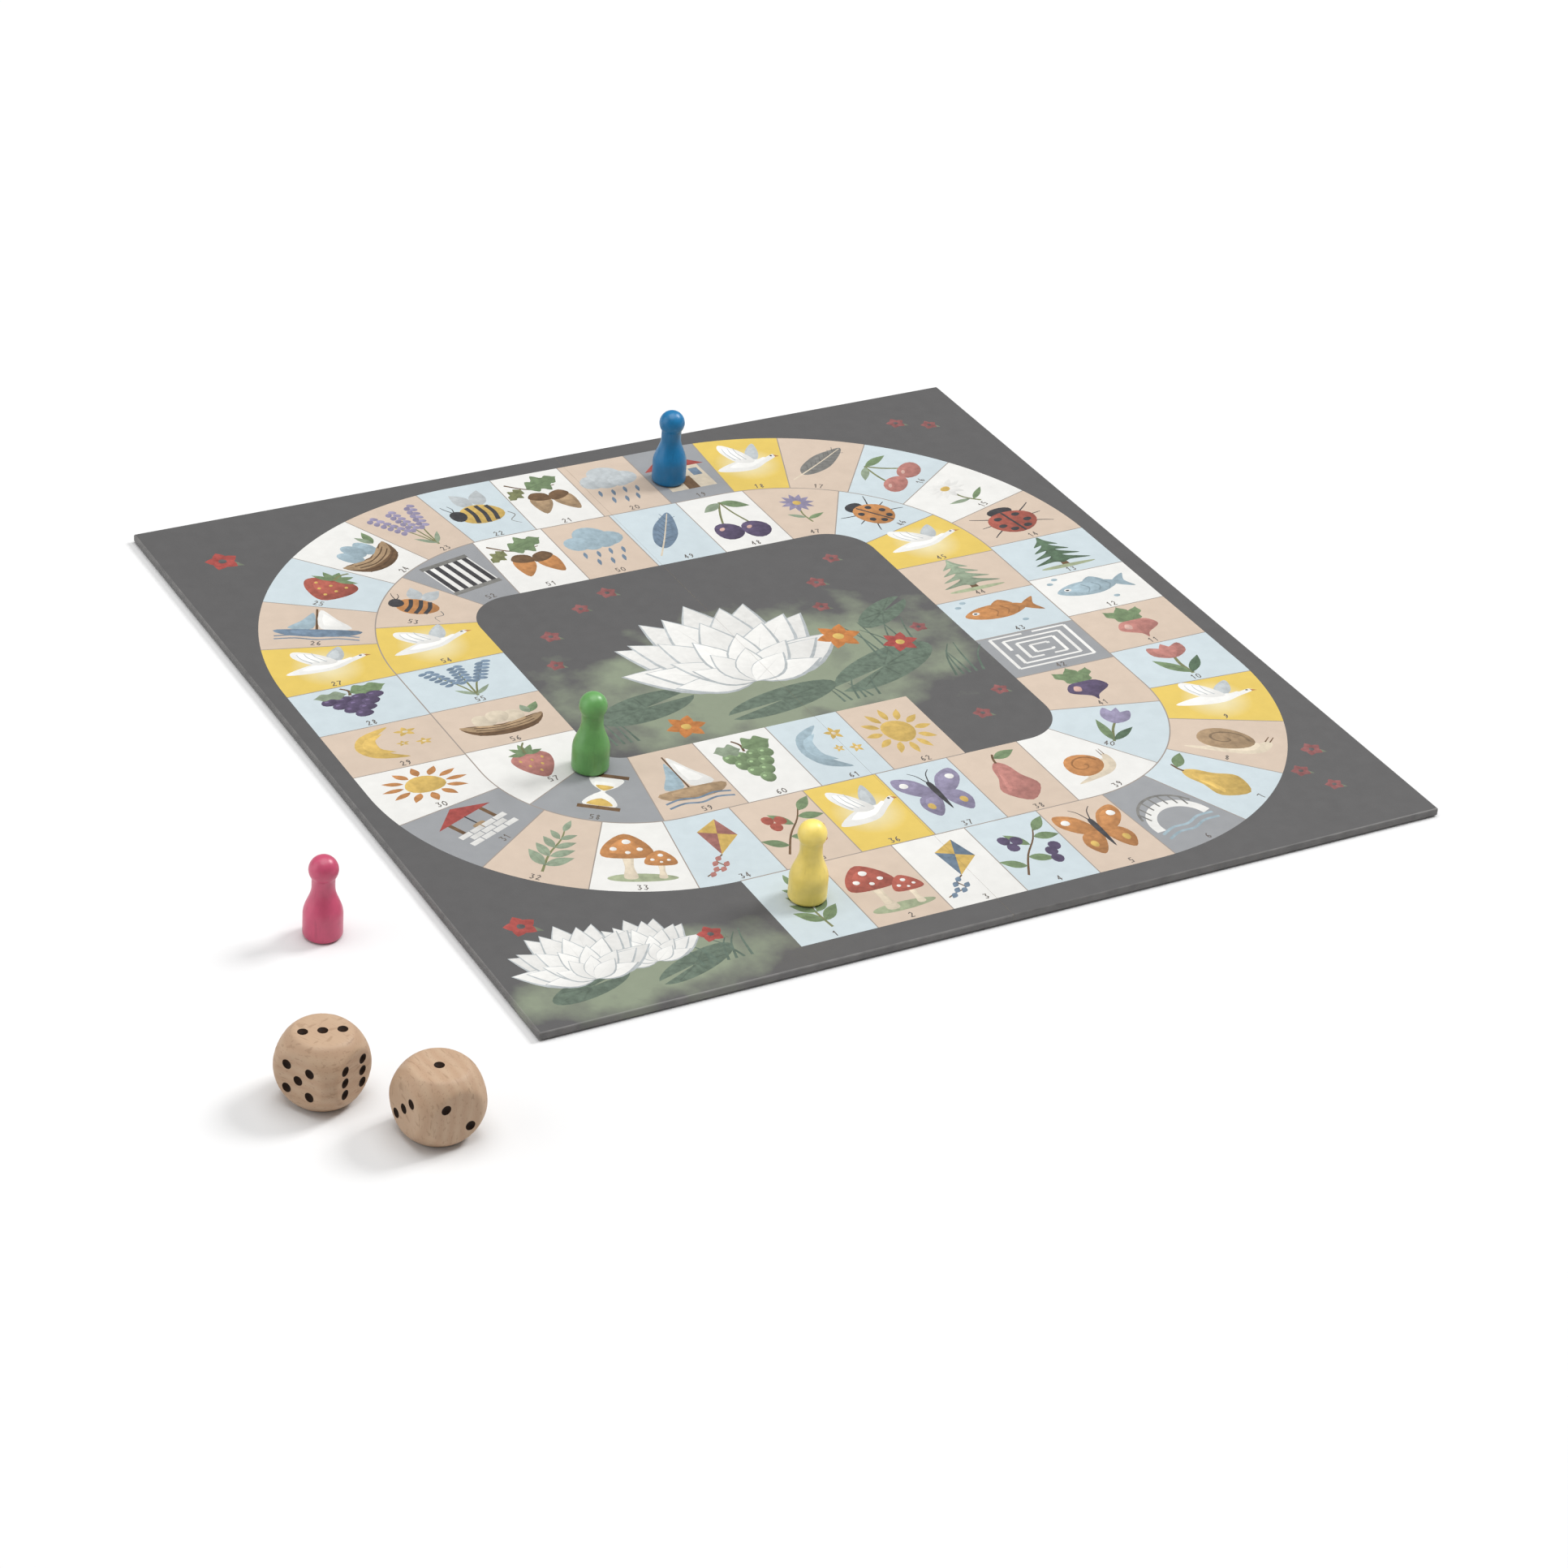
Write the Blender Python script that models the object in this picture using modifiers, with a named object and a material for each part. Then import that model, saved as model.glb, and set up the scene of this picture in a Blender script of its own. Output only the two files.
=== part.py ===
"""Game of the goose: a folding track board with four turned pawns and two wooden dice.

Metres, +Z up. The origin is the middle of the fold line, on the table. The fold runs along Y: the west half
lies still and the east half turns down and under it. Pawns and dice are loose, and lift straight off.
"""

import math

import bmesh
import bpy
from mathutils import Matrix, Vector

# Board sizes
BOARD_SIDE = 0.290
CORE_THICK = 0.0021
SHEET_THICK = 0.0002
BACKING_THICK = 0.0002
TURN_IN = 0.012
MITRE_RELIEF = 0.0008
BACKING_MARGIN = 0.004
TAPE_LEAF = 0.015

# Clearances
GLUE_LINE = 0.00005
SEAM_GAP = 0.0004
SHUT_GAP = 0.0003
BUTT_GAP = 0.0004
STAND_GAP = 0.00005

# Pawn sizes
PAWN_HEIGHT = 0.025
PAWN_BASE_D = 0.0110
PAWN_FOOT_ROUND = 0.0012
PAWN_BARREL = 0.0068
PAWN_HEAD_D = 0.0082
PAWN_NECK_STEP = 0.0009
PAWN_NECK_LENGTH = 0.0028

# Die sizes
DIE_SIDE = 0.020
DIE_BALL_D = 0.0250
PIP_D = 0.0028
PIP_DEPTH = 0.0006
PIP_PITCH = 0.0036

# Where the pieces stand, from the board's edges, its fold line and its middle
BLUE_FROM_FOLD, BLUE_FROM_NORTH = 0.0277, 0.0280
GREEN_FROM_WEST, GREEN_FROM_MIDDLE = 0.0706, 0.0319
YELLOW_FROM_FOLD, YELLOW_FROM_SOUTH = 0.0490, 0.0296
PINK_OFF_WEST, PINK_FROM_MIDDLE = 0.0321, 0.0774
DIE_1_OFF_WEST, DIE_1_FROM_SOUTH, DIE_1_TURN = 0.0611, 0.0008, -60.8
DIE_2_OFF_WEST, DIE_2_OFF_SOUTH, DIE_2_TURN = 0.0403, 0.0242, -174.3

# Facets
TURNED_STEPS = 36
FOOT_STEPS, SHOULDER_STEPS, HEAD_STEPS = 3, 7, 9
BALL_SEGMENTS, BALL_RINGS = 48, 24
PIP_SEGMENTS, PIP_RINGS = 10, 6

# Levels from the table up
HALF = BOARD_SIDE / 2
FOLD_EDGE = SEAM_GAP / 2
FIELD_Z = BACKING_THICK + GLUE_LINE
REBATE_Z = FIELD_Z + SHEET_THICK + GLUE_LINE
CORE_TOP = FIELD_Z + CORE_THICK
BOARD_TOP = CORE_TOP + GLUE_LINE + SHEET_THICK
HINGE_Z = -SHUT_GAP / 2
WEST, EAST = -1, 1

for old in list(bpy.data.objects):
    bpy.data.objects.remove(old, do_unlink=True)


def collection(name):
    group = bpy.data.collections.new(name)
    bpy.context.scene.collection.children.link(group)
    return group


PARTS = collection("goose_game")
CUTTERS = collection("cutters")


def finish(name, colour, roughness):
    """A Principled material of its own for each piece."""
    material = bpy.data.materials.new(name)
    material.use_nodes = True
    shader = material.node_tree.nodes["Principled BSDF"]
    shader.inputs["Base Color"].default_value = (*colour, 1.0)
    shader.inputs["Roughness"].default_value = roughness
    shader.inputs["Metallic"].default_value = 0.0
    return material


def mesh_object(name, bm, group, parent=None, at=(0, 0, 0), colour=None, roughness=0.6):
    mesh = bpy.data.meshes.new(name)
    bm.to_mesh(mesh)
    bm.free()
    made = bpy.data.objects.new(name, mesh)
    group.objects.link(made)
    made.parent = parent
    made.location = Vector(at) - (parent.location if parent else Vector())
    if colour:
        mesh.materials.append(finish(name, colour, roughness))
    return made


def cutter(name, bm, parent):
    made = mesh_object(name, bm, CUTTERS, parent=parent, at=parent.location)
    made.hide_render = True
    made.display_type = "WIRE"
    return made


def cut(target, tool, operation):
    step = target.modifiers.new(tool.name, "BOOLEAN")
    step.operation = operation
    step.solver = "EXACT"
    step.object = tool


def pivot(name, at):
    made = bpy.data.objects.new(name, None)
    made.empty_display_size = BOARD_SIDE / 10
    made.location = at
    PARTS.objects.link(made)
    return made


def plate(bm, low, high):
    """A rectangular plate between two corners."""
    low, high = Vector(low), Vector(high)
    size = high - low
    place = Matrix.Translation((low + high) / 2) @ Matrix.Diagonal((*size, 1.0))
    return bmesh.ops.create_cube(bm, size=1.0, matrix=place)


def mirrored(bm, side):
    """Built for the east half, with +X away from the fold; the west half is its mirror image."""
    if side == WEST:
        bmesh.ops.scale(bm, vec=(-1, 1, 1), verts=bm.verts)
        bmesh.ops.reverse_faces(bm, faces=bm.faces)
    return bm


def greyboard():
    """The stiff panel, rebated underneath for the turned-in paper."""
    wall = SHEET_THICK + GLUE_LINE
    inset = TURN_IN + MITRE_RELIEF + BUTT_GAP
    bm = bmesh.new()
    plate(bm, (FOLD_EDGE, wall - HALF, REBATE_Z), (HALF - wall, HALF - wall, CORE_TOP))
    edges = (((HALF - inset, 0, 0), (1, 0, 0)), ((0, HALF - inset, 0), (0, 1, 0)), ((0, inset - HALF, 0), (0, 1, 0)))
    for point, normal in edges:
        geometry = bm.verts[:] + bm.edges[:] + bm.faces[:]
        bmesh.ops.bisect_plane(bm, geom=geometry, plane_co=point, plane_no=normal)
    bm.normal_update()
    field = [
        face for face in bm.faces
        if face.normal.z < -0.9 and abs(face.calc_center_median().y) < HALF - inset
        and face.calc_center_median().x < HALF - inset
    ]
    grown = bmesh.ops.extrude_face_region(bm, geom=field)["geom"]
    lowered = [item for item in grown if isinstance(item, bmesh.types.BMVert)]
    bmesh.ops.translate(bm, vec=(0, 0, FIELD_Z - REBATE_Z), verts=lowered)
    bmesh.ops.delete(bm, geom=field, context="FACES")
    return bm


def folded_sheet():
    """Outside of the printed paper: playing face, three edges and turn-ins with mitred corners."""
    near, far, top, low = FOLD_EDGE, HALF, BOARD_TOP, FIELD_Z
    inner, mitre = HALF - TURN_IN, HALF - TURN_IN - MITRE_RELIEF
    points = {
        "a": (near, -far, top), "b": (far, -far, top), "c": (far, far, top), "d": (near, far, top),
        "e": (near, -far, low), "f": (far, -far, low), "g": (far, far, low), "h": (near, far, low),
        "i": (near, -inner, low), "j": (mitre, -inner, low), "k": (inner, -mitre, low),
        "l": (inner, mitre, low), "m": (mitre, inner, low), "n": (near, inner, low),
    }
    bm = bmesh.new()
    corner = {key: bm.verts.new(point) for key, point in points.items()}
    for face in ("abcd", "efba", "fgcb", "ghdc", "eijf", "fklg", "gmnh"):
        bm.faces.new([corner[key] for key in face])
    return bm


def flat_sheet(near, far):
    bm = bmesh.new()
    reach = HALF - BACKING_MARGIN
    plate(bm, (near, -reach, 0), (far, reach, BACKING_THICK))
    return bm


def board_half(word, side, parent):
    level = (0, 0, 0)
    mesh_object(f"greyboard_{word}", mirrored(greyboard(), side), PARTS, parent, level, (0.36, 0.33, 0.29), 0.9)
    sheet = mesh_object(
        f"print_sheet_{word}", mirrored(folded_sheet(), side), PARTS, parent, level, (0.158, 0.155, 0.155), 0.5
    )
    paper = sheet.modifiers.new("paper", "SOLIDIFY")
    paper.thickness = SHEET_THICK
    paper.offset = -1.0
    paper.use_even_offset = True
    liner = flat_sheet(TAPE_LEAF + BUTT_GAP, HALF - BACKING_MARGIN)
    mesh_object(f"liner_{word}", mirrored(liner, side), PARTS, parent, level, (0.62, 0.60, 0.56), 0.8)
    tape = flat_sheet(FOLD_EDGE, TAPE_LEAF)
    mesh_object(f"hinge_tape_{word}", mirrored(tape, side), PARTS, parent, level, (0.09, 0.09, 0.095), 0.85)


def pawn_profile():
    """Half outline from the foot's middle to the crown: foot round, barrel, shoulder, neck and ball head."""
    base, head = PAWN_BASE_D / 2, PAWN_HEAD_D / 2
    neck = head - PAWN_NECK_STEP
    middle = PAWN_HEIGHT - head
    under = math.acos(neck / head)
    chin = middle - head * math.sin(under)
    collar = chin - PAWN_NECK_LENGTH
    outline = [(0.0, 0.0)]
    for i in range(FOOT_STEPS + 1):
        turn = math.pi / 2 * i / FOOT_STEPS
        outline.append((base - PAWN_FOOT_ROUND * (1 - math.sin(turn)), PAWN_FOOT_ROUND * (1 - math.cos(turn))))
    for i in range(SHOULDER_STEPS + 1):
        along = i / SHOULDER_STEPS
        swell = 0.5 + 0.5 * math.cos(math.pi * along)
        outline.append((neck + (base - neck) * swell, PAWN_BARREL + (collar - PAWN_BARREL) * along))
    for i in range(HEAD_STEPS):
        turn = -under + (math.pi / 2 + under) * i / HEAD_STEPS
        outline.append((head * math.cos(turn), middle + head * math.sin(turn)))
    outline.append((0.0, PAWN_HEIGHT))
    return outline


def pawn(name, parent, at, colour):
    bm = bmesh.new()
    run = [bm.verts.new((radius, 0, height)) for radius, height in pawn_profile()]
    for first, second in zip(run, run[1:]):
        bm.edges.new((first, second))
    made = mesh_object(name, bm, PARTS, parent, at, colour, 0.35)
    lathe = made.modifiers.new("lathe", "SCREW")
    lathe.axis = "Z"
    lathe.angle = 2 * math.pi
    lathe.steps = lathe.render_steps = TURNED_STEPS
    lathe.use_merge_vertices = True
    lathe.merge_threshold = 0.00001
    lathe.use_normal_calculate = True
    return made


def pip_marks(count):
    """Pips of one face, in steps of the pip pitch along its two directions."""
    marks = [(0, 0)] if count % 2 else []
    if count >= 2:
        marks += [(1, 1), (-1, -1)]
    if count >= 4:
        marks += [(1, -1), (-1, 1)]
    if count == 6:
        marks += [(0, 1), (0, -1)]
    return marks


def pip_drill(lean):
    """One ball-ended cut for each pip; opposite faces add up to seven, one-two-three runs clockwise."""
    x, y, z = Vector((1, 0, 0)), Vector((0, 1, 0)), Vector((0, 0, 1))
    faces = {1: (z, x, y), 2: (y, x, z), 3: (x, y, z * lean), 4: (-x, y, z), 5: (-y, x, z), 6: (-z, x, y)}
    ball = (PIP_D ** 2 / 4 + PIP_DEPTH ** 2) / (2 * PIP_DEPTH)
    bm = bmesh.new()
    for count, (normal, across, along) in faces.items():
        for u, v in pip_marks(count):
            spot = normal * (DIE_SIDE / 2 + ball - PIP_DEPTH) + (across * u + along * v) * PIP_PITCH
            place = Matrix.Translation(spot) @ z.rotation_difference(normal).to_matrix().to_4x4()
            bmesh.ops.create_uvsphere(
                bm, u_segments=PIP_SEGMENTS, v_segments=PIP_RINGS, radius=ball, matrix=place
            )
    return bm


def die(name, parent, at, rotation, lean, colour):
    """A cube turned down to a ball at its corners, then drilled."""
    bm = bmesh.new()
    bmesh.ops.create_cube(bm, size=DIE_SIDE)
    made = mesh_object(name, bm, PARTS, parent, at, colour, 0.55)
    made.rotation_euler = rotation
    bm = bmesh.new()
    bmesh.ops.create_uvsphere(bm, u_segments=BALL_SEGMENTS, v_segments=BALL_RINGS, radius=DIE_BALL_D / 2)
    cut(made, cutter(f"{name}_ball", bm, made), "INTERSECT")
    cut(made, cutter(f"{name}_drill", pip_drill(lean), made), "DIFFERENCE")
    return made


# Board
west_half = pivot("west_half", (0, 0, 0))
east_half = pivot("east_half", (0, 0, HINGE_Z))
board_half("west", WEST, west_half)
board_half("east", EAST, east_half)

# Pawns
on_board = BOARD_TOP + STAND_GAP
pawn("pawn_blue", east_half, (BLUE_FROM_FOLD, HALF - BLUE_FROM_NORTH, on_board), (0.010, 0.115, 0.350))
pawn("pawn_green", west_half, (GREEN_FROM_WEST - HALF, -GREEN_FROM_MIDDLE, on_board), (0.045, 0.250, 0.040))
pawn("pawn_yellow", west_half, (-YELLOW_FROM_FOLD, YELLOW_FROM_SOUTH - HALF, on_board), (0.760, 0.560, 0.060))
pawn("pawn_pink", west_half, (-HALF - PINK_OFF_WEST, -PINK_FROM_MIDDLE, 0), (0.600, 0.055, 0.155))

# Dice
beech = (0.610, 0.400, 0.230)
three_up = (0, -math.pi / 2, math.radians(DIE_1_TURN))
one_up = (0, 0, math.radians(DIE_2_TURN))
die("die_1", west_half, (-HALF - DIE_1_OFF_WEST, DIE_1_FROM_SOUTH - HALF, DIE_SIDE / 2), three_up, -1, beech)
die("die_2", west_half, (-HALF - DIE_2_OFF_WEST, -HALF - DIE_2_OFF_SOUTH, DIE_SIDE / 2), one_up, 1, beech)
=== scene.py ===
import random
from math import acos, atan2, cos, degrees, pi, radians, sin, sqrt, tan

import bmesh
import bpy
from mathutils import Euler, Matrix, Vector
from mathutils.geometry import delaunay_2d_cdt


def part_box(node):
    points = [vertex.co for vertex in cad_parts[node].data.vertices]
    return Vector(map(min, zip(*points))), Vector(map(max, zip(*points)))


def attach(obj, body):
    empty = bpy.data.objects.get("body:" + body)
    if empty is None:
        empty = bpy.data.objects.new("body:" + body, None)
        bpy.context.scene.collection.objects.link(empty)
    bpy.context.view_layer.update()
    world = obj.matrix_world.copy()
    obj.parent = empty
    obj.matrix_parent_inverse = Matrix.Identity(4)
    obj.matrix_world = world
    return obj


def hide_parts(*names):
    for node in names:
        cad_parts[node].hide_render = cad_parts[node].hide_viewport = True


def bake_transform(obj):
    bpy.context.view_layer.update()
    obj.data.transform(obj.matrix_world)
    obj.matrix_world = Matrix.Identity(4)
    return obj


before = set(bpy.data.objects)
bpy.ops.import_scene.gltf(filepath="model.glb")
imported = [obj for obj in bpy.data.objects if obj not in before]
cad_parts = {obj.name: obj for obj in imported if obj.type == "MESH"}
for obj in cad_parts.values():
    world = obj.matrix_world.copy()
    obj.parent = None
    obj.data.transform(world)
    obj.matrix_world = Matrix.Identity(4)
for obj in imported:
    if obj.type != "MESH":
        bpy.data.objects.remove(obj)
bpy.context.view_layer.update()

scene = bpy.context.scene
MM = 0.001

# The printed sheets in millimetres: sizes from the frame, the paper's own, and where its folds lie
sheet_low, sheet_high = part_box("print_sheet_west")
HALF, TOP, UNDER = -sheet_low.x / MM, sheet_high.z / MM, sheet_low.z / MM
PAPER, ARRIS, TURN_IN, MITRE_RELIEF, SEAM_EDGE = 0.2, 0.45, 12, 0.8, 0.03
ARRIS_STEPS = 4
BASE, INNER, DEEP = HALF - ARRIS, HALF - TURN_IN, HALF - PAPER
MITRE = INNER - MITRE_RELIEF
LOW, HIGH = UNDER + PAPER, TOP - PAPER
SIDES = {"west": -1, "east": 1}

# The spiral track in millimetres: its corners' centres, its two laps' radii, how far each turn is eased
CORNERS = ((53, -51), (53, 52.5), (-54.4, 52.5), (-54.4, -16))
LAP_RADII = (67.5, 32.5)
EASED = ((0, 14, 14, -6), (0, 0, 0, -6))
TRACK_START, TRACK_END, TRACK_WIDE = (-62, -118.5), (31.3, -48.5), 35
SPACES, GOOSE_EVERY = 62, 9
ARC_STEP = 2.2
RULE_WIDE, DIVIDER_WIDE, SPACE_LIFT = 0.34, 0.4, 0.03

# Lift, width and height that fit a picture to its space, by whether the turn is tight and the track level
FITS = {
    (False, True): (0.9, 1.16, 1.38),
    (False, False): (1.5, 1.42, 0.98),
    (True, True): (-0.6, 1, 1),
    (True, False): (1.4, 1.03, 1.03),
}
TIGHT_SHIFT, NUMBER_INSET = 1, 1
HALO_REACH, HALO_SHARES, HALO_STEPS = 11.2, (1, 0.78, 0.55, 0.3), 24

# The studio's light, so that a colour given as it looks in the photograph renders so
LIGHT_LEVEL = 1.4


def ink(code):
    """Linear colour that looks like an sRGB hex code in the studio."""
    parts = [int(code[i:i + 2], 16) / 255 for i in (0, 2, 4)]
    linear = [part / 12.92 if part < 0.04 else ((part + 0.055) / 1.055) ** 2.4 for part in parts]
    return Vector(linear) / LIGHT_LEVEL


def inks(codes):
    return [ink(code) for code in codes.split()]


# Printed colours
GROUND, CREAM, PALE, WHITE, GREY, YELLOW = inks("656464 e2cebb d8e5ea f8f7f3 a5a7aa f1d26b")
# The last of these is the pale of rubbed paper: the arrises take it as wear, the upright walls partly as
# wear and partly as painted light
HALO, RULE, NUMBER, RUBBED_AND_LIT = inks("fbf3cf a89d94 6f6862 c9c6c2")
LEAF, SAGE, PINE, GRASS, STEM = inks("7d936d 98a78f 5c745c aeb896 84885f")
RED, ROSE, PINK, ORANGE, GOLD = inks("ae5e50 bb8077 dcb4a8 c58a55 d9b766")
PLUM, LILAC, BLUE, SKY, MIST = inks("5c506c 9790ab 788ca0 a5bac4 c5cbcd")
BARK, TAN, SHELL, STONE, DARK = inks("74593f ad9272 e4d6bf 84837f 454447")
POPPY, BLOSSOM, APRICOT = inks("b0524c 965f5e cb8347")
WASH, PAD, REED = inks("98a28b 6d7d6e 66776a")

# The print: outlines, each with its paint, later ones over earlier ones
PRINT = []

# How the paint lies: its light side, brush marks, chance spread, inner forms, curves, blobs and leaves
LIGHT_SIDE = Vector((-0.6, 0.8))
BRUSH_LEAST, INK_RANGE = 0.12, (0.94, 1.06)
INNER_FORM, INNER_SHIFT, INNER_LIGHT = 0.62, Vector((-0.25, 0.3)), 1.13
CURVE_STEPS, BLOB_WOBBLE, EYE_SHARE = 4, 0.035, 0.24
LEAF_SWELL, LEAF_STEPS, LOBED_STEPS, LOBE_DEPTH, VEIN_WIDE, VEIN_LONG = 0.85, 7, 16, 0.32, 0.035, 0.86
SCATTER = random.Random(11)


def spoke(angle):
    """Unit vector at an angle in degrees."""
    return Vector((cos(radians(angle)), sin(radians(angle))))


def circle(steps):
    return [spoke(360 * i / steps) for i in range(steps)]


def shares(steps):
    """Even shares from 0 to 1."""
    return [i / steps for i in range(steps + 1)]


def path(points):
    """Points from text such as "0,1 2,3"; others stay as they are."""
    if isinstance(points, str):
        return [tuple(map(float, point.split(","))) for point in points.split()]
    return points


def centre(outline):
    return sum(outline, Vector((0, 0))) / len(outline)


def plain(colour):
    return lambda spot: colour


def shaded(colour, lift, outline):
    """Paint that is lighter by lift towards the upper left of an outline."""
    middle = centre(outline)
    reach = max((spot - middle).length for spot in outline)
    return lambda spot: colour * (1 + lift * (spot - middle).dot(LIGHT_SIDE) / reach)


def put(outline, paint, brushed=0):
    """Adds an outline to the print, with how strongly it shows the brush."""
    turns = sum(a.cross(b) for a, b in zip(outline, outline[1:] + outline[:1]))
    PRINT.append((outline if turns > 0 else outline[::-1], paint, brushed))


def smooth(points, closed=False):
    """Points on a Catmull-Rom curve through the given ones."""
    ring = [Vector(point) for point in path(points)]
    ring = ring[-1:] + ring + ring[:2] if closed else ring[:1] + ring + ring[-1:]
    run = []
    for before, a, b, after in zip(ring, ring[1:], ring[2:], ring[3:]):
        first = b - before
        second = 2 * before - 5 * a + 4 * b - after
        third = 3 * a - 3 * b + after - before
        for t in shares(CURVE_STEPS)[:-1]:
            run.append(a + (first * t + second * t**2 + third * t**3) / 2)
    return run if closed else run + [ring[-1]]


def mirrored(points):
    """An outline even about the y axis, from one half of it."""
    half = path(points)
    return [*half, *((-x, y) for x, y in reversed(half) if x)]


def ribbon(run, wide, tip=1):
    """Outline of a brush stroke along a run, narrowing to tip times its width."""
    last = len(run) - 1
    left, right = [], []
    for i, spot in enumerate(run):
        way = (run[min(i + 1, last)] - run[max(i - 1, 0)]).normalized()
        across = Vector((-way.y, way.x)) * wide / 2 * (1 + (tip - 1) * i / last)
        left.append(spot + across)
        right.append(spot - across)
    return left + right[::-1]


class Pen:
    """Draws shapes of the print in a local frame, in millimetres."""

    def __init__(self, place):
        self.place = place

    def at(self, x, y, turn=0, wide=1, tall=None):
        """A pen in a frame of its own, turned in degrees and scaled."""
        turned = Matrix.Translation((x, y, 0)) @ Matrix.Rotation(radians(turn), 4, "Z")
        return Pen(self.place @ turned @ Matrix.Diagonal((wide, tall or wide, 1, 1)))

    def fill(self, points, colour, lift=0.08):
        outline = [(self.place @ Vector((x, y, 0))).xy for x, y in path(points)]
        brushed = 1 - (1 - BRUSH_LEAST) * min(1, sum(colour) / sum(WHITE))
        put(outline, shaded(colour * SCATTER.uniform(*INK_RANGE), lift, outline), brushed)

    def bar(self, left, right, low, high, colour):
        self.fill(((left, low), (right, low), (right, high), (left, high)), colour)

    def form(self, points, colour, lift=0.1):
        """A smooth shape with a lighter one inside it."""
        outline = smooth(points, closed=True)
        self.fill(outline, colour, lift)
        middle = centre(outline)
        inner = [middle + (spot - middle) * INNER_FORM + INNER_SHIFT for spot in outline[::2]]
        self.fill(inner, colour * INNER_LIGHT, lift)

    def line(self, points, wide, colour, tip=0.5):
        self.fill(ribbon(smooth(points), wide, tip), colour, 0)

    def strokes(self, points, wide, colour, lap=0):
        """Straight strokes, each past its ends by a share of its width."""
        spots = [Vector(point) for point in points]
        for a, b in zip(spots, spots[1:]):
            past = (b - a).normalized() * wide * lap
            self.fill(ribbon([a - past, b + past], wide), colour, 0)

    def blob(self, x, y, across, along, colour, turn=0, lift=0.14):
        """An oval with an uneven edge."""
        steps = 10 + 2 * int(max(across, along))
        turns = [2 * pi * i / steps for i in range(steps)]
        wobble = SCATTER.uniform(0, pi)
        edge = [1 + BLOB_WOBBLE * sin(3 * angle + wobble) for angle in turns]
        points = [(across * r * cos(a), along * r * sin(a)) for a, r in zip(turns, edge)]
        self.at(x, y, turn).fill(points, colour, lift)

    def leaf(self, x, y, turn, length, colour, slim=0.4, vein=0.8, lobes=0):
        """A leaf or petal from its foot, with a vein of another shade and any lobes."""
        own = self.at(x, y, turn)
        along = shares(LOBED_STEPS if lobes else LEAF_STEPS)[1:-1]
        half = [length * slim / 2 * sin(pi * t**LEAF_SWELL) for t in along]
        if lobes:
            half = [h * (1 - LOBE_DEPTH * cos(2 * pi * lobes * t)) for t, h in zip(along, half)]
        upper = [(length * t, h) for t, h in zip(along, half)]
        lower = [(x, -h) for x, h in upper]
        own.fill([(0, 0), *lower, (length, 0), *upper[::-1]], colour, 0.12)
        if vein:
            width = length * slim * VEIN_WIDE
            own.fill(((0, -width), (length * VEIN_LONG, 0), (0, width)), colour * vein, 0)

    def bloom(self, x, y, reach, petals, colour, eye, slim, turn=0):
        for i in range(petals):
            self.leaf(x, y, turn + 360 * i / petals, reach, colour, slim, 0.88)
        self.blob(x, y, reach * EYE_SHARE, reach * EYE_SHARE, eye)


BOARD = Pen(Matrix.Identity(4))


# Motifs of the ordinary spaces, each about 19 wide and tall before it is fitted to its space
def sprig(pen, tint):
    pen.line(".6,-9.5 -.2,-3 .5,3 0,7", 0.7, STEM)
    for step in range(4):
        for side in (-1, 1):
            pen.leaf(0.2, 3.4 * step - 7, 90 - 52 * side, 7.4 - step, tint)
    pen.leaf(0, 6.2, 88, 4.6, tint)


def berries(pen, tint):
    pen.line("-6.5,-8.5 -2,-2 3,3 6.4,8.2", 0.6, BARK)
    for x, y, turn in path("-4.5,-5.5,150 -2.4,-2.6,-20 1,1.2,130 3.5,3.6,-8 5,5.6,40"):
        pen.leaf(x, y, turn, 6.8, LEAF)
    for x, y in path("-3.6,1.6 -1.4,3.6 -4.4,4.4 4.4,-2.4 6.4,-.8 4.2,-5.2"):
        pen.blob(x, y, 1.6, 1.6, tint)


def toadstools(pen, tint):
    pen.blob(0, -8.3, 8.6, 1.5, GRASS)
    for x, scale in path("-2.6,1 5.2,.62"):
        own = pen.at(x, -8.4, wide=scale)
        own.form("-1.6,0 -1.1,4 -1.3,8.6 1.3,8.6 1.1,4 1.7,0", SHELL)
        own.form(mirrored("0,16.4 5,12.8 6.3,8.2 0,7.2"), tint, 0.2)
        for u, v, size in path("-3.2,10.8,.9 .2,13.4,1.1 3.2,10.6,.8 .2,9.4,.7"):
            own.blob(u, v, size, 0.8 * size, WHITE)


def cherries(pen, tint):
    for x, y in path("-4,-4.8 3.8,-5.8"):
        pen.line(((x, y + 3), (x / 2, 3), (1, 8.6)), 0.6, STEM, 1)
        pen.blob(x, y, 4.1, 3.9, tint, lift=0.28)
        pen.blob(x - 1.4, y + 1.4, 1, 0.6, PINK, 30)
    pen.leaf(1, 8.4, -26, 8.2, LEAF)
    pen.leaf(0.8, 8.2, 205, 7, SAGE)


def acorns(pen, tint):
    pen.line("-8,8.5 -2,4.6 5.5,5", 0.6, BARK)
    pen.leaf(-3, 5, 18, 11.5, LEAF, 0.56, 0.8, 3)
    pen.leaf(-4.5, 5.6, 218, 7, STEM, 0.56, 0.8, 3)
    for x, y, turn in path("-1.6,.6,-104 4,.2,-72"):
        own = pen.at(x, y, turn)
        own.form(".5,-2.5 4,-2.7 8.2,0 4,2.7 .5,2.5", tint, 0.2)
        own.form("-1.8,-1.8 .8,-3.2 1.8,0 .8,3.2 -1.8,1.8", BARK)


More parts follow.
